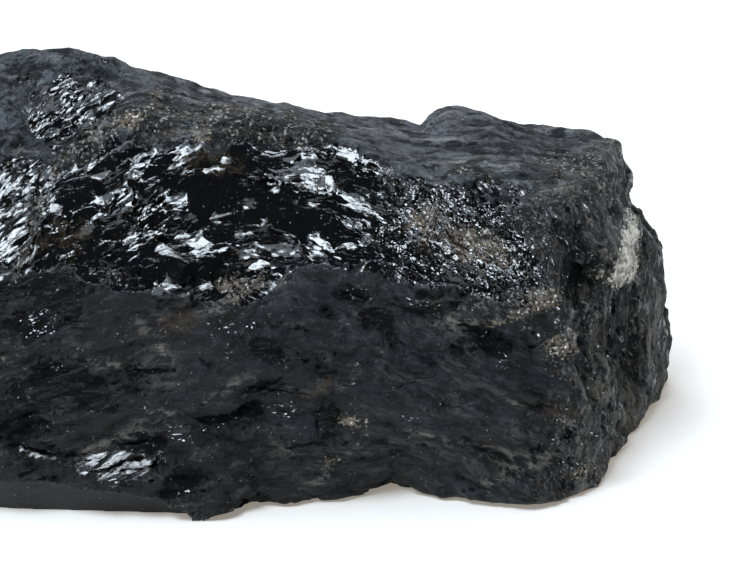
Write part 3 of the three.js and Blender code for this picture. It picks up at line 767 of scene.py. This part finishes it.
    # Roughness, and the three finishes that the stone has: frosted, glassy and matte.
    frostRough = t.mix(fleck, finish["frostRough"] + mottle * 0.4, finish["fleckRough"])
    inputs = {"Base Color": colour, "Roughness": frostRough, "Normal": facing, "IOR": finish["ior"]}
    inputs["Specular IOR Level"] = finish["frostSpecular"]
    frosted = t.node("ShaderNodeBsdfPrincipled", None, inputs)
    glassRough = t.mix(crushed, finish["glassRough"] + mottle * 0.1, finish["crushRough"])
    glassRough = t.mix(t.most(spark, glint), glassRough, finish["sparkRough"])
    inputs["Specular IOR Level"] = finish["glassSpecular"]
    glassy = t.node("ShaderNodeBsdfPrincipled", None, {**inputs, "Roughness": glassRough})
    inputs["Specular IOR Level"] = finish["matteSpecular"]
    matte = t.node("ShaderNodeBsdfPrincipled", None, {**inputs, "Roughness": frostRough})
    shiny = t.most(glass, spark)
    shader = t.node("ShaderNodeMixShader", None, {0: shiny, 1: frosted, 2: glassy})
    soft = t.most(endDark * 0.85, t.most(topCrackShade * 0.8, fleck * 0.6))
    soft = t.most(soft, grainy * (1 - grainTone) * 0.6)
    shader = t.node("ShaderNodeMixShader", None, {0: soft * (1 - spark), 1: shader, 2: matte})
    t.node("ShaderNodeOutputMaterial", None, {"Surface": shader}, None)
    return made


stone = makeStone()
stone.data.materials.clear()
stone.data.materials.append(makeFinish())
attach(stone, "root")
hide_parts("morion_lump")
print("stone done")

studio = {
    "floorSize": 8.0, "floorColour": (0.84, 0.84, 0.83), "floorGlow": (0.26, 0.235, 0.20),
    "windowPlace": (-0.96, -1.50, 2.46), "windowSize": (1.35, 1.0), "windowRadiance": 20.0,
    "windowColour": (0.82, 0.91, 1.0),
    "skyPlace": (-0.6, 0.3, 2.6), "skySize": (2.6, 2.2), "skyRadiance": 1.5,
    "skyColour": (0.72, 0.85, 1.0),
    "sidePlace": (-2.4, -0.5, 0.9), "sideSize": (1.6, 1.4), "sideRadiance": 3.0,
    "sideColour": (0.72, 0.85, 1.0),
    "worldFront": (0.05, 0.055, 0.06), "worldBack": (0.95, 0.97, 1.0), "worldStrength": 1.0,
    "aim": Vector((0.03412, -0.03962, 0.058)), "elevation": 18.0, "distance": 0.545,
    "lens": 100.0, "sensor": 36.0,
}


def makeFloor():
    bpy.ops.mesh.primitive_plane_add(size=studio["floorSize"])
    floor = bpy.context.object
    floor.name = "tableTop"
    made = bpy.data.materials.new("paleTable")
    made.use_nodes = True
    made.node_tree.nodes.clear()
    t = Tree(made.node_tree)
    inputs = {"Base Color": (*studio["floorColour"], 1), "Roughness": 1.0, "Specular IOR Level": 0.0}
    inputs["Emission Color"] = (*studio["floorGlow"], 1)  # the table is brightly lit all round
    inputs["Emission Strength"] = 1.0
    shader = t.node("ShaderNodeBsdfPrincipled", None, inputs)
    t.node("ShaderNodeOutputMaterial", None, {"Surface": shader}, None)
    floor.data.materials.append(made)


def addLight(name):
    place, size = Vector(studio[name + "Place"]), studio[name + "Size"]
    data = bpy.data.lights.new(name + "Light", "AREA")
    data.shape = "RECTANGLE"
    data.size, data.size_y = size
    data.energy = studio[name + "Radiance"] * math.pi * size[0] * size[1]
    data.color = studio[name + "Colour"]
    light = bpy.data.objects.new(name + "Light", data)
    light.location = place
    light.rotation_euler = (Vector((0, 0, 0.05)) - place).to_track_quat("-Z", "Y").to_euler()
    bpy.context.scene.collection.objects.link(light)


def makeWorld():
    world = bpy.data.worlds.new("paleRoom")
    bpy.context.scene.world = world
    world.use_nodes = True
    world.node_tree.nodes.clear()
    t = Tree(world.node_tree)
    x, y, z = t.split(t.node("ShaderNodeTexCoord", None, None, "Generated"))
    share = t.smooth(y * 0.9 + z * 0.35 - x * 0.25, -0.2, 0.9)
    around = t.mix(share, studio["worldFront"], studio["worldBack"])
    around = t.node("ShaderNodeBackground", None, {"Color": around, "Strength": studio["worldStrength"]})
    seen = t.node("ShaderNodeBackground", None, {"Color": (1, 1, 1, 1), "Strength": 1.0})
    share = t.node("ShaderNodeLightPath", None, None, "Is Camera Ray")
    shader = t.node("ShaderNodeMixShader", None, {0: share, 1: around, 2: seen})
    t.node("ShaderNodeOutputWorld", None, {"Surface": shader}, None)


def makeCamera():
    data = bpy.data.cameras.new("camera")
    data.lens, data.sensor_width = studio["lens"], studio["sensor"]
    camera = bpy.data.objects.new("camera", data)
    tilt = math.radians(studio["elevation"])
    camera.location = studio["aim"] + Vector((0, -math.cos(tilt), math.sin(tilt))) * studio["distance"]
    camera.rotation_euler = (math.radians(90) - tilt, 0, 0)
    bpy.context.scene.collection.objects.link(camera)
    bpy.context.scene.camera = camera


makeFloor()
for name in ("window", "sky", "side"):
    addLight(name)
makeWorld()
makeCamera()
bpy.context.scene.view_settings.view_transform = "Standard"
print("studio done")
